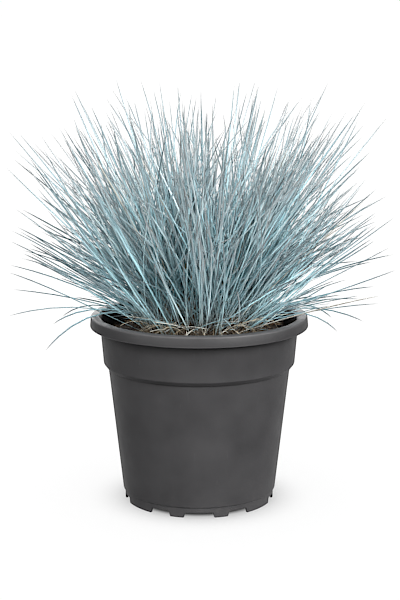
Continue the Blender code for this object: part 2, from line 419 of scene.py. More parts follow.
def floor_glow(n):
    """The floor's glow, with a painted contact shadow: it fades towards the pot's foot, and nearly out
    under the pot.
    """
    distance = n.add("VectorMath", {0: n.place()}, operation="LENGTH").outputs["Value"]
    nearness = n.graded(distance, FOOT_RADIUS, FOOT_RADIUS + CONTACT_SHADOW_WIDTH, 1.0, 0.0)
    shadow = n.math("POWER", nearness, CONTACT_SHADOW_FALL)
    dimmed = n.math("MULTIPLY_ADD", shadow, -CONTACT_SHADOW_DEPTH * FLOOR_GLOW, FLOOR_GLOW)
    # Painted shadow under the pot: the glow falls nearly to nothing there.
    under = n.graded(distance, FOOT_RADIUS - 0.0105, FOOT_RADIUS - 0.0035, UNDER_POT_GLOW, 1.0)
    return n.math("MULTIPLY", dimmed, under)


def make_floor():
    """A floor that glows, as a light table does, so that shadows on it stay faint."""
    mesh = bpy.data.meshes.new("floor")
    corners = [(x * FLOOR_REACH, y * FLOOR_REACH, 0.0) for x, y in ((-1, -1), (1, -1), (1, 1), (-1, 1))]
    mesh.from_pydata(corners, [], [(0, 1, 2, 3)])
    n = material_nodes("floor")
    pale = n.finish(
        Base_Color=FLOOR_COLOUR, Roughness=0.9, Specular_IOR_Level=0.1,
        Emission_Color=(1.0, 1.0, 1.0), Emission_Strength=floor_glow(n),
    )
    floor = make_unlit_piece("floor", mesh, pale)
    return floor


def make_softbox(name, place, aim, size, power):
    data = bpy.data.lights.new(name, "AREA")
    data.shape = "RECTANGLE"
    data.size, data.size_y = size
    data.energy = power
    light = put_in_scene(name, data)
    light.location = place
    light.rotation_euler = (Vector(aim) - Vector(place)).to_track_quat("-Z", "Y").to_euler()
    return light


def sharpen_picture():
    """A light sharpening of the finished picture, as a camera gives its own."""
    n = Nodes(scene, "CompositorNode")
    n.tree.nodes.clear()
    layers = n.add("RLayers")
    inputs = {"Fac": SHARPENING, "Image": layers.outputs["Image"]}
    sharpened = n.add("Filter", inputs, filter_type="SHARPEN")
    n.add("Composite", {"Image": sharpened.outputs["Image"]})


def make_studio():
    """The softboxes light the plant and pot, or the pot alone. The floor has the sky's shadow only."""
    sharpen_picture()
    scene.view_settings.view_transform = "Standard"
    make_sky()
    unlit = bpy.data.collections.new("not_lit_by_softboxes")
    for stage in (make_floor(), make_backdrop()):
        unlit.objects.link(stage)
    for member in unlit.collection_objects:
        member.light_linking.link_state = "EXCLUDE"
    pot_only = bpy.data.collections.new(POT_LIGHTS)
    for name, (place, aim, size, power) in SOFTBOXES.items():
        light = make_softbox(name, place, aim, size, power)
        light.light_linking.receiver_collection = pot_only if name in POT_ONLY_SOFTBOXES else unlit


# ----- materials
def leaf_material():
    """Glaucous blue, palest low down and darker to the tip, with dry brown tips and a waxy bloom."""
    n = material_nodes("blue_leaf")
    along = n.attribute("along")
    tone = n.attribute("tone")
    # The leaf's foot is dark: partly the leaf's own tan base, partly painted shade at the clump's foot.
    live = n.ramp(along, [
        (0.00, (0.13, 0.13, 0.09)), (0.06, (0.13, 0.17, 0.165)), (0.25, (0.56, 0.70, 0.73)),
        (0.50, (0.49, 0.62, 0.66)), (0.75, (0.24, 0.30, 0.322)),
        (0.95, (0.09, 0.106, 0.112)), (1.00, (0.046, 0.054, 0.058)),
    ])
    # The tone holds each leaf's own paleness, with painted highlight on the paler leaves and painted
    # shade on low ones.
    live = n.darken(live, 1.0, tone, [
        (0.00, (0.138, 0.235, 0.258)), (0.50, (0.74, 0.885, 0.91)),
        (0.75, (0.96, 0.91, 0.89)), (1.00, (1.14, 0.96, 0.92)),
    ])
    # Painted shade: leaves darken deep inside the clump and low down, by how open they are to the light.
    live = n.darken(live, 1.0, n.attribute("open"), [
        (0.0, (0.10, 0.245, 0.27)), (0.4, (0.70, 0.84, 0.86)), (1.0, 1.0),
    ])
    straw = n.ramp(tone, [
        (0.0, (0.12, 0.11, 0.085)), (0.5, (0.24, 0.235, 0.20)), (1.0, (0.46, 0.46, 0.41)),
    ])
    colour = n.mix(n.attribute("dry"), live, straw)
    turns = n.math("MULTIPLY", n.attribute("round"), 9.0)
    lengths = n.math("MULTIPLY", along, 2.5)
    groove = n.add("CombineXYZ", {"X": turns, "Y": lengths, "Z": tone}).outputs[0]
    colour = n.darken(colour, 0.55, n.noise(groove, 1.4, 3.0), [(0.35, 0.55), (0.62, 1.0)])
    return n.finish(
        Base_Color=colour, Roughness=0.48, Specular_IOR_Level=0.5, Sheen_Weight=0.32,
        Sheen_Roughness=0.5, Normal=n.bump(n.noise(groove, 3.0, 2.0), 0.35, 0.0001),
    )


def straw_material():
    """Dead sheaths and leaves, from dark brown to bleached straw by their tone."""
    n = material_nodes("dry_sheath")
    tone = n.attribute("tone")
    colour = n.ramp(tone, [
        (0.00, (0.018, 0.012, 0.008)), (0.25, (0.046, 0.035, 0.024)),
        (0.50, (0.126, 0.098, 0.06)), (0.75, (0.29, 0.262, 0.20)),
        (1.00, (0.50, 0.50, 0.445)),
    ])
    stain = n.noise(n.place(), 420.0, 4.0, 0.6)
    colour = n.darken(colour, 0.6, stain, [(0.35, 0.45), (0.62, 1.0)])
    turns = n.math("MULTIPLY", n.attribute("round"), 12.0)
    lengths = n.math("MULTIPLY", n.attribute("along"), 6.0)
    fibre = n.add("CombineXYZ", {"X": turns, "Y": lengths}).outputs[0]
    return n.finish(
        Base_Color=colour, Roughness=0.78, Specular_IOR_Level=0.25,
        Normal=n.bump(n.noise(fibre, 4.0, 3.0), 0.5, 0.0002),
    )


def plastic_material():
    """Moulded charcoal plastic with a fine grain, a cloudy tone, dust near the foot and rub marks.

    It has painted shade on the collar, on the rim band and just under it, a painted highlight on the
    band's lower edge, and painted highlight with rub wear on the rim's top edge.
    """
    n = material_nodes("pot_plastic")
    place = n.place()
    cloud = n.noise(place, 26.0, 5.0, 0.55)
    colour = n.ramp(cloud, [(0.30, (0.015, 0.0146, 0.0153)), (0.70, (0.0216, 0.0211, 0.0219))])
    height = n.add("SeparateXYZ", {"Vector": place}).outputs["Z"]
    # Painted shade and highlight by height: darker on the collar, deep under the rim band and on the
    # band, lighter on the band's lower edge and on the rim's top edge, which is partly rub wear.
    colour = n.darken(colour, 1.0, n.math("DIVIDE", height, POT_HEIGHT), [
        (0.70, 1.00), (0.80, 0.87), (0.88, 0.84), (0.925, 0.56), (0.9415, 0.38),
        (0.9445, 1.70), (0.95, 0.66), (0.985, 0.66), (0.992, 0.85), (0.998, 1.50),
    ])
    low = n.graded(height, 0.0, 0.035, 0.07, 0.0)
    dust = n.ramp(n.noise(place, 180.0, 6.0, 0.65), [(0.50, 0.0), (0.72, 1.0)])
    colour = n.mix(n.math("MULTIPLY", low, dust), colour, (0.10, 0.09, 0.08))
    stretched = n.add("Mapping", {"Vector": place, "Scale": (1.0, 1.0, 0.16)}).outputs[0]
    rub = n.ramp(n.noise(stretched, 140.0, 4.0, 0.7), [(0.64, 0.0), (0.74, 1.0)])
    colour = n.mix(n.math("MULTIPLY", rub, 0.07), colour, (0.13, 0.13, 0.13))
    rough = n.ramp(n.noise(place, 90.0, 4.0), [(0.3, 0.46), (0.7, 0.54)])
    grain = n.noise(place, 1900.0, 2.0)
    soft = n.bump(cloud, 0.10, 0.001)
    return n.finish(
        Base_Color=colour, Roughness=rough, Specular_IOR_Level=0.18,
        Normal=n.bump(grain, 0.34, 0.0002, soft),
    )


def soil_material():
    """Dark peat with bark: nearly black, with brown specks."""
    n = material_nodes("soil")
    place = n.place()
    fine = n.noise(place, 900.0, 5.0, 0.6)
    colour = n.ramp(fine, [
        (0.34, (0.006, 0.005, 0.004)), (0.54, (0.02, 0.014, 0.01)),
        (0.72, (0.075, 0.05, 0.032)),
    ])
    colour = n.darken(colour, 0.6, n.noise(place, 120.0, 4.0), [(0.3, 0.4), (0.7, 1.0)])
    return n.finish(
        Base_Color=colour, Roughness=0.95, Specular_IOR_Level=0.15,
        Normal=n.bump(fine, 0.9, 0.001),
    )


def crumb_material():
    """Crumbs of peat and bark, from black to reddish brown by their tone."""
    n = material_nodes("soil_crumbs")
    place = n.place()
    colour = n.ramp(n.attribute("tone"), [
        (0.00, (0.008, 0.006, 0.005)), (0.45, (0.03, 0.02, 0.014)),
        (0.75, (0.095, 0.058, 0.033)), (1.00, (0.23, 0.15, 0.085)),
    ])
    grain = n.noise(place, 1100.0, 4.0, 0.6)
    colour = n.darken(colour, 0.7, grain, [(0.3, 0.35), (0.7, 1.1)])
    return n.finish(
        Base_Color=colour, Roughness=0.9, Specular_IOR_Level=0.2, Normal=n.bump(grain, 0.8, 0.0006),
    )


# ----- mesh helpers
def finish_piece(name, mesh, material, replaced=()):
    mesh.name = name
    mesh.materials.append(material)
    piece = put_in_scene(name, mesh)
    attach(piece, "root")
    if replaced:
        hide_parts(*replaced)
    return piece


def add_attribute(mesh, name, values):
    layer = mesh.attributes.new(name, "FLOAT", "POINT")
    layer.data.foreach_set("value", np.asarray(values, dtype=np.float32))


FLAT_SECTION = [(cos(turn), sin(turn)) for turn in (tau * k / 5 for k in range(5))]
FOLDED_SECTION = [(1.0, 0.15), (0.55, 0.95), (0.0, 0.45), (-0.55, 0.95), (-1.0, 0.15), (0.0, -0.95)]


class Strands:
    """Many closed, tapering strands that become one mesh."""

    def __init__(self, section=FOLDED_SECTION, stations=LEAF_STATIONS):
        self.section = np.array(section)
        self.stations = np.array(stations)
        self.made = []
        self.values = {}

    def add(self, path, widths, flatness, facing, **values):
        """A strand along path. widths are its half widths, and flatness is thickness over width."""
        self.made.append(([tuple(point) for point in path], widths, flatness, tuple(facing)))
        for key, value in values.items():
            self.values.setdefault(key, []).append(np.broadcast_to(value, len(path)))

    def mesh(self):
        paths, widths, flatness, facings = (np.array(part) for part in zip(*self.made))
        widths = widths[:, :-1, None, None]
        strands, points = paths.shape[:2]
        rings = points - 1
        sides = len(self.section)
        ahead = np.concatenate([paths[:, 1:], paths[:, -1:]], axis=1)
        behind = np.concatenate([paths[:, :1], paths[:, :-1]], axis=1)
        along = (ahead - behind)[:, :-1]
        along /= np.linalg.norm(along, axis=2, keepdims=True)
        facing = facings[:, None, :]
        side = facing - along * (along * facing).sum(axis=2, keepdims=True)
        side /= np.linalg.norm(side, axis=2, keepdims=True)
        other = np.cross(along, side)
        flat = flatness[:, None, None, None]
        across = self.section[None, None, :, 0, None]
        through = self.section[None, None, :, 1, None] * flat
        offset = (side[:, :, None, :] * across + other[:, :, None, :] * through) * widths
        corners = (paths[:, :-1, None, :] + offset).reshape(strands, rings * sides, 3)
        corners = np.concatenate([corners, paths[:, -1:]], axis=1).reshape(-1, 3)

        spoke = np.arange(sides)
        step = (spoke + 1) % sides
        row = (np.arange(rings - 1) * sides)[:, None]
        walls = np.stack([row + spoke, row + step, row + sides + step, row + sides + spoke], axis=2)
        top = (rings - 1) * sides
        tips = np.stack([top + spoke, top + step, np.full(sides, rings * sides)], axis=1)
        faces = walls.reshape(-1, 4).tolist() + tips.tolist() + [spoke[::-1].tolist()]
        size = rings * sides + 1
        every = []
        for first in range(0, strands * size, size):
            every += [[first + corner for corner in face] for face in faces]

        mesh = bpy.data.meshes.new("strands")
        mesh.from_pydata(corners.tolist(), [], every)
        spread = {"along": np.broadcast_to(self.stations, (strands, points)), **self.values}
        for key, values in spread.items():
            per_ring = np.array(values)
            rest = np.repeat(per_ring[:, :-1], sides, axis=1)
            add_attribute(mesh, key, np.concatenate([rest, per_ring[:, -1:]], axis=1).ravel())
        rounds = np.concatenate([np.tile(spoke / sides, rings), [0.5]])
        add_attribute(mesh, "round", np.tile(rounds, strands))
        mesh.shade_smooth()
        return mesh


def bezier(points, stations):
    first, second, third, fourth = points
    path = []
    for t in stations:
        u = 1.0 - t
        near = first * (u * u * u) + second * (3.0 * u * u * t)
        path.append(near + third * (3.0 * u * t * t) + fourth * (t * t * t))
    return path


def ring_angles():
    """The angles of the pot's corners, which fall on the ends of the feet."""
    ends = sorted({0.0, 90.0, *(end for foot in FEET for end in foot)})
    quarter = []
    for start, stop in zip(ends, ends[1:]):
        steps = ceil((stop - start) / FINEST_STEP)
        quarter += [start + (stop - start) * step / steps for step in range(steps)]
    half = quarter + [90.0] + [180.0 - angle for angle in reversed(quarter[1:])]
    return half + [angle + 180.0 for angle in half]


def turned(bm, profile, angles):
    """A solid turned about the Z axis from a profile that starts and ends on the axis."""
    rings = []
    for radius, height in profile:
        spokes = angles if radius else [0.0]
        rings.append([bm.verts.new(around(angle, radius, height)) for angle in spokes])
    bands = []
    for lower, upper in zip(rings, rings[1:]):
        band = []
        for index in range(len(angles)):
            follower = (index + 1) % len(angles)
            walk = ((lower, index), (lower, follower), (upper, follower), (upper, index))
            corners = [ring[place % len(ring)] for ring, place in walk]
            band.append(bm.faces.new(list(dict.fromkeys(corners))))
        bands.append(band)
    return bands


def rounded(corners, steps=4):
    """A profile whose corners are rounded. Each corner is a radius, a height and its rounding."""
    path = []
    for index, (radius, height, rounding) in enumerate(corners):
        here = Vector((radius, height))
        if rounding == 0.0:
            path.append(tuple(here))
            continue
        before = (Vector(corners[index - 1][:2]) - here).normalized()
        after = (Vector(corners[index + 1][:2]) - here).normalized()
        half = before.angle(after) / 2.0
        back = rounding / tan(half)
        middle = here + (before + after).normalized() * (rounding / sin(half))
        start = here + before * back - middle
        sweep = -start.angle_signed(here + after * back - middle)
        for step in range(steps + 1):
            path.append(tuple(middle + Matrix.Rotation(sweep * step / steps, 2) @ start))
    return path


# ----- pot
def pot_section():
    base_top = FOOT_HEIGHT + BASE_THICKNESS
    lip_underside = POT_HEIGHT - RIM_THICKNESS
    return rounded([
        (0.0, FOOT_HEIGHT, 0.0),
        (FOOT_RADIUS - FOOT_WALL, FOOT_HEIGHT, 0.0),
        (FOOT_RADIUS, FOOT_HEIGHT, 0.0),
        (FOOT_RING_TOP_RADIUS, FOOT_RING_TOP - 0.0003, 0.0003),
        (FOOT_RING_TOP_RADIUS - 0.0004, FOOT_RING_TOP, 0.0),
        (BODY_BOTTOM_RADIUS, FOOT_RING_TOP, 0.001),
        (BODY_TOP_RADIUS, BODY_TOP, 0.0003),
        (BODY_TOP_RADIUS + 0.0014, BODY_TOP + 0.0002, 0.0005),
        (COLLAR_RADIUS, COLLAR_BOTTOM, 0.0018),
        (COLLAR_TOP_RADIUS, lip_underside, 0.0006),
        (RIM_TOP_RADIUS - WALL, lip_underside, 0.0008),
        (RIM_BAND_RADIUS - WALL, RIM_BAND_BOTTOM, 0.0005),
        (RIM_BAND_RADIUS, RIM_BAND_BOTTOM, 0.0009),
        (RIM_TOP_RADIUS, POT_HEIGHT, 0.0014),
        (RIM_INNER_RADIUS, POT_HEIGHT, 0.001),
        (COLLAR_TOP_RADIUS - WALL, POT_HEIGHT - 0.003, 0.001),
        (COLLAR_RADIUS - WALL, COLLAR_BOTTOM, 0.002),
        (BODY_TOP_RADIUS - WALL, BODY_TOP, 0.002),
        (BODY_BOTTOM_RADIUS - WALL, FOOT_RING_TOP, 0.0004),
        (BODY_BOTTOM_RADIUS - 2.0 * WALL, base_top, 0.0004),
        (0.0, base_top, 0.0),
    ])


def foot_at(angle):
    """The foot that an angle falls on, as its middle and its half width in degrees, or None."""
    side = round(angle / 180.0) * 180.0
    from_side = abs(angle - side)
    for start, stop in FEET:
        if start <= from_side <= stop:
            if stop == 90.0:
                middle = 90.0 if angle < 180.0 else 270.0
                return middle, 90.0 - start
            half = (stop - start) / 2
            return side + copysign(start + half, angle - side), half
    return None


def grow_feet(bm, ring_faces, angles):
    """Draw the feet down out of the foot ring's flat underside, a little narrower at the ground."""
    by_foot = {}
    for index, face in enumerate(ring_faces):
        start = angles[index]
        stop = angles[index + 1] if index + 1 < len(angles) else 360.0
        foot = foot_at((start + stop) / 2)
        if foot:
            by_foot.setdefault(foot, []).append(face)
    for (middle, half), faces in by_foot.items():
        narrowing = 1.0 - degrees(FOOT_END_SLANT / FOOT_RADIUS) / half
        grown = bmesh.ops.extrude_face_region(bm, geom=faces)["geom"]
        bmesh.ops.delete(bm, geom=faces, context="FACES")
        for corner in grown:
            if isinstance(corner, bmesh.types.BMVert):
                angle = (angle_of(corner.co) - middle + 180.0) % 360.0 - 180.0
                radius = hypot(corner.co.x, corner.co.y)
                corner.co = around(middle + angle * narrowing, radius, 0.0)


def round_foot_edges(bm):
    """Small roundings on the edges of the feet and of the foot ring between them."""
    bm.normal_update()
    sharp = []
    for edge in bm.edges:
        low = all(corner.co.z < FOOT_HEIGHT + 1e-5 for corner in edge.verts)
        inner = FOOT_RADIUS - FOOT_WALL - 1e-4
        outer = all(hypot(corner.co.x, corner.co.y) > inner for corner in edge.verts)
        if low and outer and len(edge.link_faces) == 2 and edge.calc_face_angle() > radians(40.0):
            sharp.append(edge)
    edges = {"geom": sharp, "affect": "EDGES", "clamp_overlap": True}
    bmesh.ops.bevel(bm, offset=FOOT_EDGE_ROUNDING, segments=2, **edges)


def drill(mesh):
    """The mesh with the drain holes cut through its base."""
    bm = bmesh.new()
    size = {"radius1": HOLE_RADIUS, "radius2": HOLE_RADIUS, "depth": 4.0 * BASE_THICKNESS}
    for index in range(HOLE_COUNT):
        made = bmesh.ops.create_cone(bm, cap_ends=True, segments=28, **size)
        angle = 360.0 * (index + 0.5) / HOLE_COUNT
        middle = around(angle, HOLE_CIRCLE_RADIUS, FOOT_HEIGHT + BASE_THICKNESS / 2)
        bmesh.ops.translate(bm, vec=middle, verts=made["verts"])
    cutter = put_in_scene("hole_cutter", mesh_of(bm))
    whole = put_in_scene("whole_pot", mesh)
    cut = whole.modifiers.new("drain_holes", "BOOLEAN")
    cut.operation = "DIFFERENCE"
    cut.solver = "EXACT"
    cut.object = cutter
    graph = bpy.context.evaluated_depsgraph_get()
    drilled = bpy.data.meshes.new_from_object(whole.evaluated_get(graph))
    for thing in (cutter, whole):
        bpy.data.objects.remove(thing)
    return drilled


def make_pot(material):
    angles = ring_angles()
    bm = bmesh.new()
    bands = turned(bm, pot_section(), angles)
    grow_feet(bm, bands[1], angles)
    bmesh.ops.recalc_face_normals(bm, faces=bm.faces)
    round_foot_edges(bm)
    mesh = drill(mesh_of(bm))
    mesh.materials.clear()
    mesh.shade_smooth()
    mesh.set_sharp_from_angle(angle=radians(SHARP_EDGE_ANGLE))
    pot = finish_piece("moulded_pot", mesh, material, ["pot"])
    bpy.data.collections[POT_LIGHTS].objects.link(pot)


# ----- soil
def soil_height(x, y):
    """The height of the soil's top, which is lumpy between the crown and the pot's wall."""
    from_axis = hypot(x, y)
    outward = ease((from_axis - SLOPE_START) / (SOIL_EDGE - SLOPE_START))
    level = SOIL_AT_CROWN + (SOIL_AT_WALL - SOIL_AT_CROWN) * outward
    lumpy = ease((from_axis - LUMPS_START) / LUMPS_WIDTH)
    lumps = noise.noise(Vector((x, y, 0.3)) * 130.0) * 0.0013
    lumps += noise.noise(Vector((x, y, 0.7)) * 420.0) * 0.0007
    return level + lumpy * lumps


def make_soil(material):
    inset = WALL + SOIL_GAP
    bottom = FOOT_HEIGHT + BASE_THICKNESS + SOIL_GAP
    profile = [
        (0.0, bottom),
        (BODY_BOTTOM_RADIUS - 2.0 * WALL - SOIL_GAP, bottom),
        (BODY_BOTTOM_RADIUS - inset, FOOT_RING_TOP + SOIL_GAP),
        (BODY_TOP_RADIUS - inset - SOIL_GAP, BODY_TOP - 0.002),
        (COLLAR_RADIUS - inset - SOIL_GAP, COLLAR_BOTTOM + 0.003),
    ]
    start, stop = 0.034, SOIL_EDGE - 0.0002
    for step in range(SOIL_RINGS + 1):
        profile.append((stop + (start - stop) * step / SOIL_RINGS, SOIL_AT_WALL))
    profile.append((0.0, SOIL_AT_CROWN))
    bm = bmesh.new()
    turned(bm, profile, even_angles(240))
    for corner in bm.verts:
        if corner.co.z > SOIL_AT_WALL - 1e-6:
            corner.co.z = soil_height(corner.co.x, corner.co.y)
    bmesh.ops.recalc_face_normals(bm, faces=bm.faces)
    finish_piece("soil_body", mesh_of(bm), material, ["potting_soil"])


def add_lump(bm, draw, centre, size, shape, tone, tone_layer):
    """A crumb with a knobbly surface, stretched by shape and turned at random."""
    made = bmesh.ops.create_icosphere(bm, subdivisions=2 if size > SMOOTH_CRUMB else 1, radius=1.0)
    turn = Matrix.Rotation(draw.uniform(0.0, tau), 3, random_direction(draw))
    if shape[2] < 0.5:
        spin = Matrix.Rotation(draw.uniform(0.0, tau), 3, "Z")
        turn = spin @ Matrix.Rotation(draw.gauss(0.0, 0.4), 3, "X")
    seed = Vector([draw.uniform(0, 50) for _ in range(3)])
    for corner in made["verts"]:
        push = 1.0 + CRUMB_ROUGHNESS * noise.noise(corner.co * 1.7 + seed)
        stretched = Vector([corner.co[axis] * shape[axis] for axis in range(3)])
        corner.co = centre + turn @ (stretched * (size * push))
        corner[tone_layer] = tone


def make_crumbs(material):
    """Crumbs of soil and flat bits of bark, lying on the soil between the crown and the wall."""
    draw = random.Random(77)
    bm = bmesh.new()
    tone_layer = bm.verts.layers.float.new("tone")
    for index in range(CRUMB_COUNT):
        bark = index % 5 == 0
        size = draw.uniform(0.001, 0.0024) if bark else 0.0005 + draw.expovariate(1600.0)
        size = min(size, LARGEST_CRUMB)
        shape = [draw.uniform(*span) for span in (BARK_SHAPE if bark else CRUMB_SHAPE)]
        reach = size * max(shape)
        radius = sqrt(draw.uniform(0.047 ** 2, (SOIL_EDGE - 0.0008 - reach) ** 2))
        spot = around(draw.uniform(0.0, 360.0), radius, 0.0)
        spot.z = soil_height(spot.x, spot.y) + size * shape[2] * draw.uniform(0.1, 0.7)
        tone = clamp(draw.gauss(0.62, 0.2) if bark else abs(draw.gauss(0.0, 0.32)))
        add_lump(bm, draw, spot, size, shape, tone, tone_layer)
    finish_piece("soil_crumbs", mesh_of(bm), material)


# ----- crown and dead leaves
def crown_point(lean, angle, lift=0.0):
    normal = direction(lean, angle)
    return CROWN_CENTRE + normal * (DOME_RADIUS + lift), normal


def random_lean(draw, low, high):
    """A lean that spreads points evenly over the crown's dome."""
    start = cos(radians(low))
    stop = cos(radians(high))
    return degrees(acos(draw.uniform(stop, start)))


def taper(stations, tip_start, tip_width, foot_width=1.0):
    widths = []
    for t in stations:
        width = foot_width + (1.0 - foot_width) * ease(t / 0.40)
        if t > tip_start:
            width *= 1.0 - (1.0 - tip_width) * ((t - tip_start) / (1.0 - tip_start)) ** 1.3
        widths.append(width)
    return np.array(widths)


def make_crown(material):
    """The dome of old sheaths: a rough core, and the short dead sheaths that stand all over it."""
    bands = 26
    profile = [(0.0, CROWN_FOOT)]
    for band in range(bands, -1, -1):
        lean = radians(CROWN_HALF_ANGLE * band / bands)
        radius = DOME_RADIUS * sin(lean) if band else 0.0
        profile.append((radius, CROWN_CENTRE.z + DOME_RADIUS * cos(lean)))
    bm = bmesh.new()
    turned(bm, profile, even_angles(120))
    bmesh.ops.recalc_face_normals(bm, faces=bm.faces)
    for corner in bm.verts:
        if corner.co.z > CROWN_FOOT + 1e-5:
            push = abs(noise.noise(corner.co * 240.0)) * 0.0012 + noise.noise(corner.co * 90.0) * 0.0008
            corner.co += (corner.co - CROWN_CENTRE).normalized() * (push - 0.0008)
    core = mesh_of(bm)
    for key, value in (("along", 0.2), ("tone", 0.14), ("round", 0.5)):
        add_attribute(core, key, np.full(len(core.vertices), value))
    finish_piece("crown_core", core, material, ["crown"])

    draw = random.Random(31)
    stations = (0.0, 0.3, 0.6, 0.85, 1.0)
    sheaths = Strands(FLAT_SECTION, stations)
    for _ in range(SHEATH_COUNT):
        lean = random_lean(draw, 4.0, 52.0)
        base, normal = crown_point(lean, draw.uniform(0.0, 360.0), -0.001)
        heading = (normal * 0.9 + UP * 0.25 + random_direction(draw) * 0.38).normalized()
        length = draw.uniform(0.003, 0.009)
        bend = random_direction(draw) * length * 0.18
        points = [base, base + heading * length * 0.4, base + heading * length * 0.8 + bend]
        points.append(base + heading * length + bend * 2.0)
        width = draw.uniform(0.0004, 0.0009)
        tone = clamp(draw.gauss(0.19, 0.16))
        path = bezier(points, stations)
        flatness = draw.uniform(0.3, 0.8)
        sheaths.add(path, width * taper(stations, 0.3, 0.25), flatness, random_direction(draw), tone=tone)
    finish_piece("sheath_stubs", sheaths.mesh(), material)


def keep_in_pot(point):
    """Keep a strand's point above the soil and inside the pot's wall."""
    from_axis = hypot(point.x, point.y)
    widest = SOIL_EDGE - 0.0012
    if from_axis > widest and point.z < POT_HEIGHT + 0.001:
        point.x *= widest / from_axis
        point.y *= widest / from_axis
        from_axis = widest
    floor = soil_height(point.x, point.y) + 0.0005
    if from_axis < CROWN_RADIUS:
        floor = CROWN_CENTRE.z + sqrt(DOME_RADIUS ** 2 - from_axis ** 2) + 0.0005
    point.z = max(point.z, floor)
    return point


def wander(draw, start, heading, length, steps, wobble, weight):
    """A dead leaf's path, which wanders and sinks until it lies on the soil."""
    path = [start.copy()]
    point = start.copy()
    for _ in range(steps - 1):
        heading = (heading + random_direction(draw) * wobble - UP * weight).normalized()
        point = keep_in_pot(point + heading * (length / (steps - 1)))
        path.append(point.copy())
    return path


def make_thatch(material):
    """Short dead leaves, bleached or brown, that lie in a mat around the crown's foot."""
    draw = random.Random(52)
    steps = 9
    stations = tuple(step / (steps - 1) for step in range(steps))
    mat = Strands(FLAT_SECTION, stations)
    for _ in range(THATCH_COUNT):
        angle = draw.uniform(0.0, 360.0)
        lean = random_lean(draw, 30.0, 52.0)
        base, normal = crown_point(lean, angle, -0.0003)
        outward = around(angle, 1.0, 0.0)
        sideways = around(angle + 90.0, 1.0, 0.0) * draw.gauss(0.0, 0.75)
        heading = (outward + sideways + UP * draw.uniform(-0.1, 0.7)).normalized()
        length = 0.006 + min(draw.expovariate(110.0), 0.026)
        path = wander(draw, base, heading, length, steps, 0.26, draw.uniform(0.06, 0.22))
        width = draw.uniform(*THATCH_WIDTH)
        mat.add(
            path, width * taper(stations, 0.5, 0.3), draw.uniform(0.3, 0.8), random_direction(draw),
            tone=clamp(draw.gauss(0.17, 0.18)),
        )
    finish_piece("thatch", mat.mesh(), material)


# ----- leaves
def envelope(lean):
    for (start, near), (stop, far) in zip(ENVELOPE, ENVELOPE[1:]):
        if lean <= stop:
            return near + (far - near) * (lean - start) / (stop - start)
    return ENVELOPE[-1][1]


def lifted(across):
    """The direction of a leaf's tip, held higher at the front, where no leaf hides the rim."""
    lean = lean_of(across)
    angle = angle_of(across)
    lift = FRONT_LIFT * exp(-((angle / FRONT_LIFT_WIDTH) ** 2))
    return direction(lean * (1.0 - lift), angle)


def clears_pot(path):
    """Whether a path stays above the soil and clear of the rim."""
    inner, outer = OVER_RIM
    for point in path:
        from_axis = hypot(point.x, point.y)
        if from_axis < inner and point.z < SOIL_AT_CROWN + 0.0008:
            return False
        if inner <= from_axis < outer and point.z < POT_HEIGHT + RIM_CLEARANCE:
            return False
    return True


def fanned(draw, across, fan):
    """A direction turned away from another by about a fan angle in degrees."""
    spread = random_square(draw, across)
    angle = min(abs(draw.gauss(0.0, fan)), WIDEST_FAN)
    return (across + spread * tan(radians(angle))).normalized()


def random_bow(draw):
    """How a shoot's leaves bow: a bend to one side, a rise, and how straight they run."""
    sideways = random_vector(draw, 0.024)
    return sideways, draw.gauss(0.012, 0.016), draw.uniform(0.60, 1.0)


def leaf_path(draw, base, normal, towards, reach, bow):
    sideways, rise, straightness = bow
    tip = ENVELOPE_CENTRE + towards * reach
    length = (tip - base).length
    chord = (tip - base).normalized()
    heading = normal.lerp(chord, clamp(straightness + draw.gauss(0.0, 0.06))).normalized()
    sideways = sideways + random_vector(draw, 0.008)
    second = base + (heading + sideways).normalized() * length * 0.33
    third = base.lerp(tip, 0.67) + (second - base.lerp(tip, 0.33)) * 0.7
    third += UP * (length * (rise + draw.gauss(0.0, 0.005)))
    third += random_vector(draw, 0.004) * length
    return base, second, third, tip


def exposure(point):
    """How open a point is to the light, from 0, deep inside the clump, to 1, for painted shade. The
    lowest get half.
    """
    outward = point - ENVELOPE_CENTRE
    rise = outward.length / envelope(lean_of(outward))
    side = CROWN_RADIUS + (point.z - CROWN_FOOT) * tan(radians(CLUMP_SIDE_LEAN))
    depth = (side - hypot(point.x, point.y)) * cos(radians(CLUMP_SIDE_LEAN))
    open_sky = clamp(ease((rise - 0.30) / 0.48) + 0.75 * ease(1.0 - depth / CLUMP_SIDE_DEPTH))
    return open_sky * (0.5 + 0.5 * ease((point.z - 0.158) / 0.036))


def add_leaf(strands, draw, curve, width, tone, dry):
    """One leaf along a curve. It has a thin tip, which may be brown."""
    stations = strands.stations
    path = bezier(curve, stations)
    brown = draw.uniform(0.02, 0.09)
    amount = clamp(draw.gauss(0.10, 0.24))
    widths = width * taper(stations, draw.uniform(0.74, 0.90), 0.34, 0.43)
    strands.add(
        path, widths, draw.uniform(0.65, 0.9), random_direction(draw), tone=tone,
        # open holds painted shade for points deep in the clump.
        open=[exposure(point) for point in path],
        dry=[max(dry, clamp((t - 1.0 + brown) / brown) * amount) for t in stations],
    )


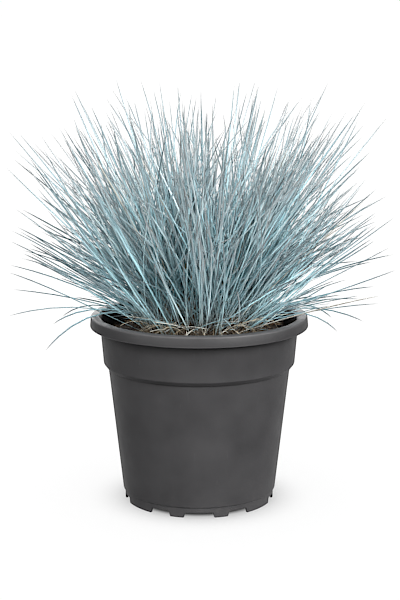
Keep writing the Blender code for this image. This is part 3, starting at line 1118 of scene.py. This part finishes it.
def grow_leaf(draw, base, normal, across, vigour, bow):
    """The curve of a leaf that clears the pot, or None. vigour is how tall its shoot is."""
    outermost = lean_of(normal) > OUTER_TUFTS
    for _ in range(30):
        stray = draw.random() < STRAY_SHARE
        towards = fanned(draw, across, STRAY_FAN if stray else LEAF_FAN)
        if outermost and draw.random() < CROSSING_SHARE:
            turn = draw.uniform(*CROSSING_TURN) * draw.choice((-1.0, 1.0))
            towards = direction(draw.uniform(*CROSSING_LEAN), angle_of(normal) + turn)
        lean = lean_of(towards)
        if lean > OUTERMOST_LEAN:
            continue
        left = LEFT_LOSS * ease(-towards.x * 2.0) * (1.0 - ease((lean - 60.0) / 18.0))
        low = LOW_LEFT_LOSS if towards.x < 0.0 else LOW_RIGHT_LOSS
        low *= ease(abs(towards.x) * 2.0) * ease((lean - 66.0) / 10.0)
        if draw.random() < THINNING + left + low:
            return None
        towards = lifted(towards)
        lean = lean_of(towards)
        share = draw.gauss(*REACH) * vigour * (0.88 if stray else 1.0)
        if not SHORTEST_REACH + 0.25 * ease((lean - 55.0) / 20.0) < share < 1.0:
            continue
        own_bow = random_bow(draw) if stray else bow
        curve = leaf_path(draw, base, normal, towards, envelope(lean) * share, own_bow)
        if clears_pot(bezier(curve, CLEARANCE_STATIONS)):
            return curve
    return None


def low_shade(curve):
    """The painted shade on a leaf's tone: a share that falls from 1 for an upright leaf to nearly 0 for
    one leaning out low.
    """
    lean = lean_of(curve[3] - curve[0])
    return 1.0 - 0.93 * ease((lean - 42.0) / 24.0)


def leaf_tone(draw, curve, bright_share):
    """How pale a leaf is. About a fifth are painted paler as if lit, and those leaning out low get
    painted shade.
    """
    tone = draw.gauss(*(BRIGHT_TONE if draw.random() < bright_share else LEAF_TONE))
    return clamp(tone * low_shade(curve), 0.0, 0.9)


def tuft_frame(index):
    """Where a tuft stands on the crown, and the direction that its leaves take."""
    share = (index + 0.5) / TUFT_COUNT
    angle = index * GOLDEN_ANGLE
    spread = dome_lean(share, TUFT_SPREAD)
    lean = dome_lean(share, OUTERMOST_LEAN - 9.0)
    return direction(spread, angle), direction(lean, angle)


def make_tuft(index, material):
    node = f"leaf_tuft_{index + 1:02d}"
    draw = random.Random(1000 + index)
    tuft_normal, tuft_across = tuft_frame(index)
    strands = Strands()
    outermost = lean_of(tuft_normal) > OUTER_TUFTS
    for shoot in range(SHOOTS_PER_TUFT + (EXTRA_SHOOTS if outermost else 0)):
        sideways = random_square(draw, tuft_normal)
        offset = sideways * (SHOOT_RING * sqrt(draw.random()))
        normal = (tuft_normal * DOME_RADIUS + offset).normalized()
        across = fanned(draw, (tuft_across + offset * 14.0).normalized(), SHOOT_FAN)
        if shoot >= SHOOTS_PER_TUFT:
            angle = angle_of(tuft_normal) + draw.uniform(-15.0, 15.0)
            normal = direction(draw.uniform(43.0, 51.0), angle)
            across = across.lerp(UP, draw.uniform(0.15, 0.5)).normalized()
        vigour = draw.uniform(*VIGOUR)
        bow = random_bow(draw)
        for bright_share in BRIGHT_SHARES:
            own = (normal * DOME_RADIUS + random_direction(draw) * SHOOT_SPREAD).normalized()
            base = CROWN_CENTRE + own * (DOME_RADIUS - 0.0004)
            curve = grow_leaf(draw, base, own, across, vigour, bow)
            if curve is None:
                continue
            tone = leaf_tone(draw, curve, bright_share)
            dry = 1.0 if draw.random() < DRY_SHARE else 0.0
            add_leaf(strands, draw, curve, draw.uniform(*LEAF_WIDTH), tone, dry)
    finish_piece(node + "_leaves", strands.mesh(), material, [node])


def make_outer_leaves(material):
    """The longest single leaves, and the low ones that bend over the rim."""
    draw = random.Random(9)
    strands = Strands()
    for angle, lean, reach in OUTSTANDING_LEAVES:
        base, normal = crown_point(min(lean * 0.8 + draw.uniform(-6.0, 6.0), 44.0), angle)
        curve = leaf_path(draw, base, normal, direction(lean, angle), reach, random_bow(draw))
        # Painted shade on those that lean out low.
        tone = clamp(draw.gauss(0.46, 0.12) * low_shade(curve))
        add_leaf(strands, draw, curve, draw.uniform(*LONG_LEAF_WIDTH), tone, 0.0)
    for angle, distance, height in DROOPING_LEAVES:
        base, normal = crown_point(draw.uniform(38.0, 46.0), angle + draw.uniform(-8.0, 8.0))
        tip = around(angle, distance, height)
        over = around(angle, 0.09, POT_HEIGHT + draw.uniform(0.006, 0.01))
        second = base.lerp(over, 0.75) + UP * 0.006
        third = over.lerp(tip, 0.45) + UP * 0.008
        width = draw.uniform(*LEAF_WIDTH)
        # The low leaves over the rim get a dark tone: painted shade, as on other low leaves.
        add_leaf(strands, draw, (base, second, third, tip), width, draw.uniform(0.0, 0.15), 0.0)
    finish_piece("outer_leaves", strands.mesh(), material)


def make_low_leaves(material):
    """The lowest leaves, which arch out over the soil and end near the rim or just past it."""
    draw = random.Random(17)
    strands = Strands()
    while len(strands.made) < LOW_LEAVES:
        angle = draw.uniform(0.0, 360.0)
        base, normal = crown_point(draw.uniform(40.0, 51.0), angle)
        in_front = abs(angle_of(normal)) < FRONT_HALF_ANGLE
        if in_front and draw.random() < 0.6:
            continue
        distance = draw.uniform(*(FRONT_LEAF_REACH if in_front else LOW_LEAF_REACH))
        height = draw.uniform(0.153, 0.176) if distance < 0.083 else draw.uniform(0.165, 0.196)
        tip = around(angle + draw.gauss(0.0, 30.0), distance, height)
        length = (tip - base).length
        second = base + (tip - base) * 0.35 + UP * (length * draw.uniform(0.02, 0.14))
        third = base + (tip - base) * 0.75 + UP * (length * draw.uniform(0.00, 0.10))
        curve = (base, second, third, tip)
        if clears_pot(bezier(curve, CLEARANCE_STATIONS)):
            dry = 1.0 if draw.random() < (0.6 if in_front else 0.12) else 0.0
            tone = clamp(draw.gauss(0.62, 0.1) if dry else draw.gauss(0.30, 0.18))
            add_leaf(strands, draw, curve, draw.uniform(*LOW_LEAF_WIDTH), tone, dry)
    finish_piece("low_leaves", strands.mesh(), material)


def make_dry_leaves(material):
    """Dead leaves, bleached to straw, inside the clump, arching out at its foot and on the soil."""
    draw = random.Random(64)
    stations = tuple(step / 11 for step in range(12))
    strands = Strands(FLAT_SECTION, stations)
    while len(strands.made) < LONG_STRAWS:
        lean = dome_lean(draw.random(), 62.0)
        angle = draw.uniform(0.0, 360.0)
        base, normal = crown_point(min(lean * 0.62, 46.0), angle)
        towards = lifted(fanned(draw, direction(lean, angle), 9.0))
        reach = draw.uniform(0.35, 0.74) * envelope(lean)
        curve = leaf_path(draw, base, normal, towards, reach, random_bow(draw))
        path = bezier(curve, stations)
        if not clears_pot(path[2:]):
            continue
        width = draw.uniform(*LONG_STRAW_WIDTH)
        tone = clamp(draw.gauss(0.66, 0.12))
        strands.add(path, width * taper(stations, 0.5, 0.15), 0.5, random_direction(draw), tone=tone)
    for index in range(SHORT_STRAWS):
        angle = draw.gauss(0.0, 36.0) if index % 2 else draw.uniform(0.0, 360.0)
        base, normal = crown_point(random_lean(draw, 30.0, 51.0), angle)
        outward = around(angle + draw.gauss(0.0, 38.0), 1.0, 0.0)
        heading = (outward + UP * draw.uniform(0.2, 0.9)).normalized()
        length = draw.uniform(0.018, 0.046)
        path = wander(draw, base, heading, length, len(stations), 0.16, draw.uniform(0.08, 0.18))
        width = draw.uniform(*SHORT_STRAW_WIDTH)
        strands.add(
            path, width * taper(stations, 0.5, 0.2), 0.5, random_direction(draw),
            tone=clamp(draw.gauss(0.50, 0.15)),
        )
    for start_angle, angle, distance, height in CREAM_BLADES:
        base, normal = crown_point(47.0, start_angle)
        tip = around(angle, distance, height)
        second = base.lerp(tip, 0.35) + UP * draw.uniform(0.006, 0.011)
        third = base.lerp(tip, 0.75) + UP * draw.uniform(0.004, 0.008)
        path = bezier((base, second, third, tip), stations)
        width = draw.uniform(*CREAM_BLADE_WIDTH)
        strands.add(
            path, width * taper(stations, 0.5, 0.3), 0.5, random_direction(draw),
            tone=clamp(draw.gauss(0.72, 0.08)),
        )
    finish_piece("dry_leaves", strands.mesh(), material)


# ----- run
def main():
    make_camera()
    make_studio()
    leaf = leaf_material()
    straw = straw_material()
    make_pot(plastic_material())
    make_soil(soil_material())
    make_crumbs(crumb_material())
    make_crown(straw)
    make_thatch(straw)
    make_dry_leaves(straw)
    for index in range(TUFT_COUNT):
        make_tuft(index, leaf)
    make_outer_leaves(leaf)
    make_low_leaves(leaf)


main()
